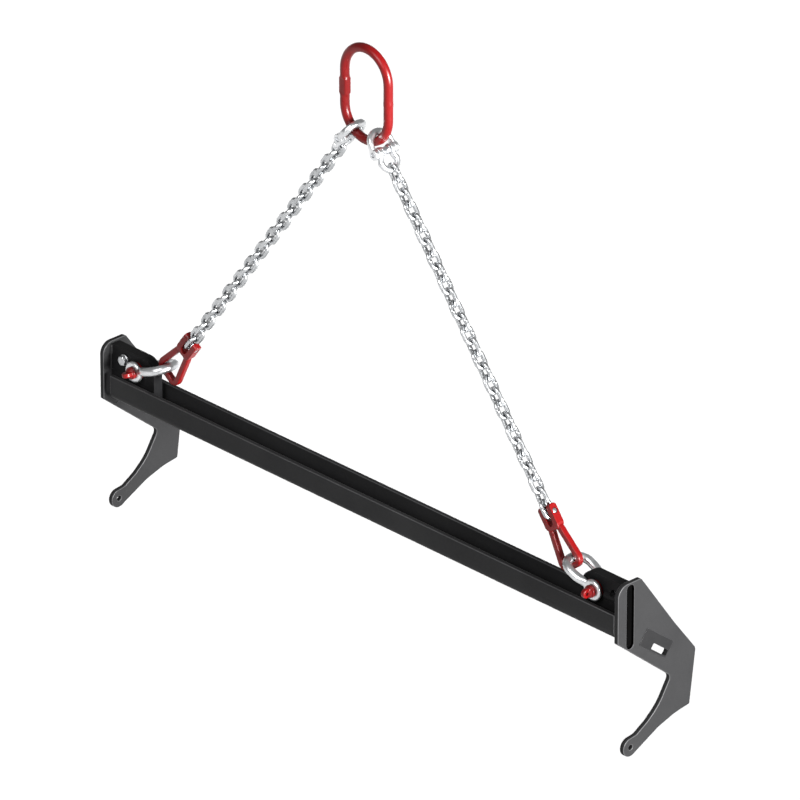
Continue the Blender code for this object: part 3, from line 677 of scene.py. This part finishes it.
# ================================================================== clevis link
def pear(side, tag):
    leg = Leg(side)

    def P(u, v, y=0.0):
        return leg.at(LEG_LEN + u, y, v)

    base = 20.0
    outline = rounded([(0, -base, 9.0), (0, base, 9.0), (-57.5, 8.6, 7.0), (-57.5, -8.6, 7.0)], 6.0)
    path = even([P(u, v) for u, v in outline], 150, True)
    ring = tube(path, (0, 1, 0), 40, True, BAR_R, BAR_R, 5.0)
    ears = []
    neck = loft([[P(u, sx * hv, sy * hy) for sx, sy in ((-1, -1), (1, -1), (1, 1), (-1, 1))] for u, hv, hy in ((-53.2, 10.2, 5.4), (-57.0, 12.6, 6.0), (-61.0, 13.6, 6.2), (-64.5, 13.6, 6.2))])
    for sg in (1, -1):
        pts = rounded([(-59.5, -6.2, 0.0), (-59.5, 6.2, 0.0), (-PEAR_PIN - 10.4, 6.2, 4.6), (-PEAR_PIN - 10.4, -6.2, 4.6)], 9.0)
        a, b = sorted((sg * FORK_IN, sg * FORK_OUT))
        n = len(pts)
        v = [P(u, a, y) for u, y in pts] + [P(u, b, y) for u, y in pts]
        f = [tuple(range(n)), tuple(range(2 * n - 1, n - 1, -1))] + [(i, i + n, (i + 1) % n + n, (i + 1) % n) for i in range(n)]
        ears.append(Shape().add(v, f))
    # the throat between the ears is rounded where the chain sits
    throat = cyl(P(-64.0, 0, -12), P(-64.0, 0, 12), FORK_IN, 48)
    bore = cyl(leg.at(S_CLEVIS, 0, -30), leg.at(S_CLEVIS, 0, 30), CLEVIS_PIN_R + 0.25, 48)
    ob = forged(tag + "_clevis_link_forged", [ring, neck] + ears, RED, 0.42, 2, [throat, bore])
    place(ob, "legs", "red_powder_coat", tag + "_clevis_link")
    e = FORK_OUT - 0.4
    prof = [(-e, 0), (-e, CLEVIS_PIN_R - 1.3), (-e + 0.3, CLEVIS_PIN_R - 0.5), (-e + 0.9, CLEVIS_PIN_R), (e - 0.9, CLEVIS_PIN_R), (e - 0.3, CLEVIS_PIN_R - 0.5), (e, CLEVIS_PIN_R - 1.3), (e, 0)]
    place(obj(tag + "_clevis_load_pin", lathe(leg.at(S_CLEVIS), leg.n, prof, 40), PIN_Y, 40), "legs", "pin_steel", tag + "_clevis_pin")


# ================================================================== shackles
def shackle(side, tag):
    leg = Leg(side)
    ps = Vector((PIN_X[side], 0, PIN_Z))
    crown = leg.at(LEG_LEN - (BAR_R + SWIRE_R + 0.5), 0, BOW_OFFSET)
    e = crown - ps
    length = e.length
    e.normalize()
    nrm = Vector((0, 1, 0)).cross(e)

    def at(t, y):
        return ps + e * t + Vector((0, y, 0))

    y_ear = JAW / 2 + EAR_T / 2
    seg = 36
    c = length - SBOW_R
    limb = [(4.0, y_ear), (9.0, y_ear), (14.0, y_ear + 0.4), (20.0, y_ear + 1.3), (28.0, y_ear + 3.8)]
    arc = [(c + SBOW_R * math.sin(math.pi * i / seg), SBOW_R * math.cos(math.pi * i / seg)) for i in range(seg + 1)]
    path = limb + arc + [(t, -y) for t, y in reversed(limb)]
    P = eased([at(t, y) for t, y in path], 120, False, 14)
    d = np.r_[0, np.cumsum(np.linalg.norm(np.diff(P, axis=0), axis=1))]
    edge = np.minimum(d, d[-1] - d)
    r_in = 3.2 + (SWIRE_R - 3.2) * smoothstep(edge, 6.0, 22.0)
    r_n = 6.6 + (SWIRE_R - 6.6) * smoothstep(edge, 6.0, 22.0)
    bow = tube(P, nrm, 32, False, r_in, r_n, 2.0)
    ears = [round_cyl(ps + Vector((0, sg * JAW / 2, 0)), ps + Vector((0, sg * (JAW / 2 + EAR_T), 0)), EAR_R, 3.2, 72, 6) for sg in (1, -1)]
    jaw = loft([[(ps.x + sx * 30, y, ps.z + sz * 30) for sx, sz in ((-1, -1), (1, -1), (1, 1), (-1, 1))] for y in (-JAW / 2, JAW / 2)])
    bore = cyl(ps + Vector((0, -40, 0)), ps + Vector((0, 40, 0)), SPIN_R + 0.3, 64)
    ob = forged(tag + "_shackle_bow_forged", [bow] + ears, ZINC, 0.5, 6, [jaw, bore])
    place(ob, tag + "_shackle", "galvanised_steel", tag + "_shackle_bow")

    # spacer rings that centre the shackle on the lug
    for name, y0, y1 in (("front", -JAW / 2 + 0.3, -LUG_T / 2 - 0.3), ("back", LUG_T / 2 + 0.3, JAW / 2 - 0.3)):
        prof = [(y0, SPIN_R + 0.7), (y0, SPACER_R - 0.5), (y0 + 0.15, SPACER_R - 0.15), (y0 + 0.5, SPACER_R), (y1 - 0.5, SPACER_R), (y1 - 0.15, SPACER_R - 0.15), (y1, SPACER_R - 0.5), (y1, SPIN_R + 0.7), (y1 - 0.2, SPIN_R + 0.5), (y0 + 0.2, SPIN_R + 0.5)]
        place(obj("%s_spacer_ring_%s" % (tag, name), lathe(ps, (0, 1, 0), prof, 72), RED, 35), "beam", "red_powder_coat", "%s_spacer_%s" % (tag, name))

    # screw pin: shank, collar and flat eye
    y_out = JAW / 2 + EAR_T
    turn = math.radians(0 if side > 0 else 75)
    tx, tz = Vector((math.sin(turn), 0, math.cos(turn))), Vector((math.cos(turn), 0, -math.sin(turn)))
    collar = round_cyl(ps + Vector((0, -y_out - 4.5, 0)), ps + Vector((0, -y_out - 0.3, 0)), 8.9, 1.4, 72, 6)
    rings = []
    for h, k in ((-3.2, 0.86), (-2.5, 0.97), (-1.8, 1.0), (1.8, 1.0), (2.5, 0.97), (3.2, 0.86)):
        pts = [(-y_out - 2.0, -6.9 * k), (-y_out - 2.0, 6.9 * k)] + [(-y_out - 10.0 - 6.8 * k * math.sin(math.pi * j / 24), 6.8 * k * math.cos(math.pi * j / 24)) for j in range(25)]
        rings.append([ps + Vector((0, y, 0)) + tx * q + tz * h for y, q in pts])
    tab = loft(rings)
    hole_c = ps + Vector((0, -y_out - 10.2, 0))
    hole = cyl(hole_c - tz * 8, hole_c + tz * 8, 2.4, 40)
    neck = lathe(ps + Vector((0, -y_out - 8.2, 0)), (0, 1, 0), [(0, 0), (0.3, 3.0), (2.2, 5.4), (5.0, 7.4), (5.0, 0)], 48)
    shank = cyl(ps + Vector((0, -y_out - 2.0, 0)), ps + Vector((0, -y_out + 2.5, 0)), SPIN_R, 64)
    head = forged(tag + "_pin_head", [collar, tab, neck, shank], RED, 0.38, 4, [hole])
    # rolled thread on the far end, plain shank between
    y1, pitch = y_out + 0.5, 2.0
    prof = [(-y_out + 1.5, 0), (-y_out + 1.5, SPIN_R - 0.1)] + [(-y_out + 1.5 + k, SPIN_R) for k in (1.0, 12.0)]
    t0 = JAW / 2 - 1.0
    hs = np.linspace(t0, y1 - 1.2, 70)
    prof += [(h, SPIN_R - 0.02) for h in hs] + [(y1, SPIN_R - 1.2), (y1, 0)]

    def thread(h, r, t):
        if h < t0 or h > y1 - 1.1 or r < 5:
            return r
        ph = (h / pitch - t / (2 * math.pi)) % 1.0
        return r - 0.9 * abs(2 * ph - 1)
    shaft = lathe(ps, (0, 1, 0), prof, 56, thread)
    sh = obj(tag + "_pin_shaft", shaft, RED, 35)
    join([head, sh], tag + "_shackle_screw_pin")
    place(head, tag + "_screw_pin", "red_powder_coat", tag + "_shackle_pin")


def join(obs, name):
    """Join objects that share their frame, keeping the first."""
    with bpy.context.temp_override(active_object=obs[0], selected_editable_objects=obs, selected_objects=obs):
        bpy.ops.object.join()
    obs[0].name = name
    return obs[0]


# ================================================================== beam
def channel():
    h, b, t, r = CH_WIDTH / 2, CH_BOTTOM, CH_WALL, CH_BEND_R
    ri = r - t
    out = [(-h, CH_TOP)] + arc2(-h + r, b + r, r, 180, 270, 18) + arc2(h - r, b + r, r, 270, 360, 18) + [(h, CH_TOP), (h - t, CH_TOP)]
    out += arc2(h - r, b + r, ri, 360, 270, 12) + arc2(-h + r, b + r, ri, 270, 180, 12) + [(-h + t, CH_TOP)]
    ob = obj("beam_channel_folded", prism(out, 0, CH_LEFT, PLATE_RIGHT_IN - 0.3), [BLACK, BLACK_EDGE_PAINTED_HIGHLIGHT], 30)
    bevel(ob, 0.9, 4, 40, 1, 35)
    place(ob, "beam", "black_powder_coat", "beam_channel")


def plate_outline():
    a0, a1 = math.radians(-52), math.radians(92)
    start = (EYE_Y + EYE_R * math.cos(a0), EYE_Z + EYE_R * math.sin(a0))
    end = (EYE_Y + EYE_R * math.cos(a1), EYE_Z + EYE_R * math.sin(a1))
    eye = arc2(EYE_Y, EYE_Z, EYE_R, -52, -268, 60)[1:-1]
    return rounded(PLATE_CORNERS + [(*start, 0)] + [(y, z, 0) for y, z in eye] + [(*end, 0), (14.0, -148.3, 12.0)] + ARM_INNER, 4.0)


def rect2(c, size, ang, grow=0.0, r=1.0, step=12.0):
    ca, sa = math.cos(ang), math.sin(ang)
    a, b = size[0] / 2 + grow, size[1] / 2 + grow
    return rounded([(c[0] + ca * x - sa * y, c[1] + sa * x + ca * y, r) for x, y in ((-a, -b), (a, -b), (a, b), (-a, b))], step)


def slot_outline(grow):
    h = SLOT_HALF + grow
    return arc2(0, SLOT_HI - SLOT_HALF, h, 0, 180, 30) + arc2(0, SLOT_LO + SLOT_HALF, h, 180, 360, 30)


def end_plate(side, tag):
    inner = PLATE_RIGHT_IN if side > 0 else PLATE_LEFT_IN
    outer = inner + side * PLATE_T
    x0, x1 = min(inner, outer), max(inner, outer)
    ob = obj(tag + "_end_plate_cut", prism(plate_outline(), 0, x0, x1), [BLACK, BLACK_EDGE_PAINTED_HIGHLIGHT], None)
    cut(ob, [prism(slot_outline(0), 0, x0 - 5, x1 + 5), prism(rect2(WIN_C, WIN_SIZE, PAD_ANGLE, r=1.6), 0, x0 - 5, x1 + 5),
             prism(arc2(EYE_Y, EYE_Z, EYE_HOLE_R, 0, 354, 59), 0, x0 - 5, x1 + 5)])
    bevel(ob, 0.75, 3, 40, 1, 35)
    # slot 2 is the near-black coat, laid on the slot's side walls: painted shade inside the slot
    ob.data.materials.append(SLOT_PAINTED_SHADE_BLACK)
    for p in ob.data.polygons:
        y, z = p.center.y * 1000, p.center.z * 1000 + HOOK_Z
        if abs(y) < SLOT_HALF + 0.3 and SLOT_LO - 0.3 < z < SLOT_HI + 0.3 and abs(p.normal.x) < 0.9:
            p.material_index = 2
    place(ob, "beam", "black_powder_coat", tag + "_end_plate")

    # identification pad, glued on, with the window carried through it
    q0, q1 = outer - side * (PAD_DEPTH - 0.3), outer + side * PAD_PROUD
    pad = obj(tag + "_id_pad_raised", prism(rect2(PAD_C, PAD_SIZE, PAD_ANGLE, r=2.2, step=8.0), 0, min(q0, q1), max(q0, q1)), [PAD, BLACK_EDGE_PAINTED_HIGHLIGHT], None)
    cut(pad, [prism(rect2(WIN_C, WIN_SIZE, PAD_ANGLE, r=1.6), 0, x0 - 5, x1 + 5)])
    bevel(pad, 0.4, 3, 40, 1, 35)
    place(pad, "beam", "black_powder_coat", tag + "_id_pad")

    # a strip sits recessed in the slot, coated near black: a dark sheet standing in for the deep shade of the slot; its
    # faces toward the beam keep the plain coat
    s0, s1 = inner + side * 0.3, outer - side * 3.5
    strip = obj(tag + "_slot_closing_strip_painted_shade", prism(slot_outline(-0.25), 0, min(s0, s1), max(s0, s1)), SLOT_PAINTED_SHADE_BLACK, None)
    bevel(strip, 0.5, 2, 40, -1, 35)
    strip.data.materials.append(BLACK)
    for p in strip.data.polygons:
        if p.normal.x * side < -0.5:
            p.material_index = 1
    place(strip, "beam", "black_strip", tag + "_slot_strip")


def lug(side, tag):
    inner = PLATE_RIGHT_IN if side > 0 else PLATE_LEFT_IN
    x_end = inner - side * 0.3
    top, x_eye, x_nose, foot = PIN_Z + LUG_R, PIN_X[side], LUG_NOSE_X[side] + side * LUG_R, CH_BOTTOM + CH_WALL + 0.3
    bx, bz = BOLT_X[side], BOLT_Z[side]
    if side > 0:
        pts = [(x_end, foot), (x_end, top)] + arc2(x_nose, PIN_Z, LUG_R, 90, 180, 30) + [(x_nose - LUG_R, foot)]
    else:
        pts = [(x_end, foot), (x_end, top)] + arc2(x_nose, PIN_Z, LUG_R, 90, 0, 30) + [(x_nose + LUG_R, foot)]
    head = side                         # the bolt's head is on this side in Y, the rib on the other
    # the lug plate takes the darker coat, painted shade; its bevels take the lighter edge coat
    ob = obj(tag + "_lug_plate", prism(pts, 1, -LUG_T / 2, LUG_T / 2), [LUG_PAINTED_SHADE, BLACK_EDGE_PAINTED_HIGHLIGHT], None)
    rib_y = -head * (LUG_T / 2 - 1.0)
    cut(ob, [round_cyl((RIB_START[side], rib_y, RIB_Z), (x_end, rib_y, RIB_Z), RIB_R, 0.8, 64)], "UNION")
    cut(ob, [cyl((x_eye, -30, PIN_Z), (x_eye, 30, PIN_Z), SPIN_R + 0.5, 64), cyl((bx, -30, bz), (bx, 30, bz), BOLT_R + 0.3, 48)])
    bevel(ob, 0.8, 3, 40, 1, 35)
    place(ob, "beam", "black_powder_coat", tag + "_lug")

    # fillet welds: lug to end plate, lug to channel floor
    for k, sy in enumerate((-1, 1)):
        y = sy * (LUG_T / 2 + 0.6)
        bead("%s_weld_plate_%d" % (tag, k + 1), [(x_end - side * 0.6, y, CH_TOP + 1.0), (x_end - side * 0.6, y, top - 1.0)], 2.5, (1, 0, 0), 11 + k + 3 * side)
        x_in = x_nose - side * (LUG_R - 2.0)
        bead("%s_weld_floor_%d" % (tag, k + 1), [(side * (CH_LEFT * -1 - 3.0) if side < 0 else x_end - 2.0, y, foot + 0.3), (x_in, y, foot + 0.3)], 2.7, (0, 0, 1), 21 + k + 3 * side)
    bead(tag + "_weld_toe", [(x_nose - side * (LUG_R + 0.5), -7.0, foot + 0.3), (x_nose - side * (LUG_R + 0.5), 7.0, foot + 0.3)], 2.7, (0, 0, 1), 31 + side)

    # bolt into the tapped lug, hexagon head on one side only

    def hexr(h, r, t, flat=BOLT_AF / 2, spin=math.radians(12 if side < 0 else 25)):
        a = (t + spin) % (math.pi / 3) - math.pi / 6
        return min(r, flat / math.cos(a))
    y0, tip, pitch = LUG_T / 2 + 0.3, LUG_T / 2 - 5.0, 1.25
    prof = [(-y0 - h, r) for h, r in ((7.3, 0.0), (7.3, 5.6), (7.1, 6.05), (6.2, 7.6), (2.0, 7.6), (1.8, 6.3), (1.8, BOLT_R))]
    prof += [(-y0 + 3.0, BOLT_R)] + [(h, BOLT_R) for h in np.linspace(-y0 + 3.4, tip - 0.9, 90)] + [(tip, BOLT_R - 0.9), (tip, 0)]

    def rad(h, r, t):
        if h < -y0 - 1.9 and r > 5.5:
            return hexr(h, r, t)
        if -y0 + 3.2 < h < tip - 0.8 and r > 3.5:
            ph = (h / pitch - t / (2 * math.pi)) % 1.0
            return r - 0.62 * abs(2 * ph - 1)
        return r
    axis = (0, -head, 0)
    place(obj(tag + "_lug_hex_bolt", lathe((bx, 0, bz), axis, prof, 96, rad), BOLT, 28), "beam", "zinc_bolt", tag + "_lug_bolt")
    w0, w1 = -y0 - 1.7, -y0
    prof = [(w0, BOLT_R + 0.45), (w0, 7.7), (w0 + 0.3, 8.0), (w1 - 0.3, 8.0), (w1, 7.7), (w1, BOLT_R + 0.45)]
    place(obj(tag + "_lug_flat_washer", lathe((bx, 0, bz), axis, prof, 72), BOLT, 35), "beam", "zinc_bolt", tag + "_lug_washer")


master_link()
LINK = link_mesh("chain_link")
for _side, _tag in ((-1, "left"), (1, "right")):
    coupling(_side, _tag)
    chain(_side, _tag, LINK)
    pear(_side, _tag)
    shackle(_side, _tag)
    lug(_side, _tag)
    end_plate(_side, _tag)
channel()


# ================================================================== stage
FLOOR_Z = -1.45
me = bpy.data.meshes.new("floor")
me.from_pydata([(-40, -40, FLOOR_Z), (40, -40, FLOOR_Z), (40, 40, FLOOR_Z), (-40, 40, FLOOR_Z)], [], [(0, 1, 2, 3)])
floor = bpy.data.objects.new("studio_floor", me)
SCENE.collection.objects.link(floor)
fl = Nodes("studio_floor_paper")
fl.col(fl.ramp(fl.noise(3.0, 3.0, 0.5), [(0.3, c4(0.62, 0.62, 0.62)), (0.7, c4(0.65, 0.65, 0.65))]))
fl.b.inputs["Roughness"].default_value = 0.9
fl.b.inputs["Specular IOR Level"].default_value = 0.0
me.materials.append(fl.m)

CENTRE = Vector((0.0, 0.03, -0.45))
world = bpy.data.worlds.new("studio")
SCENE.world = world
world.use_nodes = True
bg = world.node_tree.nodes["Background"]
bg.inputs["Color"].default_value = (1.0, 1.0, 1.0, 1.0)
bg.inputs["Strength"].default_value = 0.30


def sun(name, toward, strength, spread):
    """Large, far, soft source shining from the direction given."""
    l = bpy.data.lights.new(name, "SUN")
    l.energy, l.angle = strength, math.radians(spread)
    o = bpy.data.objects.new(name, l)
    SCENE.collection.objects.link(o)
    o.rotation_euler = Vector(toward).to_track_quat("Z", "Y").to_euler()
    return o


sun("key_right", (1.0, 0.0, 0.11), 24.5, 24.0)
sun("front_top_soft", (0.10, -0.80, 0.60), 2.6, 34.0)

SCENE.view_settings.view_transform = "Standard"

cam = bpy.data.cameras.new("photo_camera")
cam.sensor_width, cam.lens = 36.0, 470.2
cam.clip_start, cam.clip_end = 0.1, 200.0
co = bpy.data.objects.new("photo_camera", cam)
SCENE.collection.objects.link(co)
co.location = (9.030, -8.654, 5.792)
co.rotation_euler = (math.radians(63.25), 0.0, math.radians(46.0156))
SCENE.camera = co
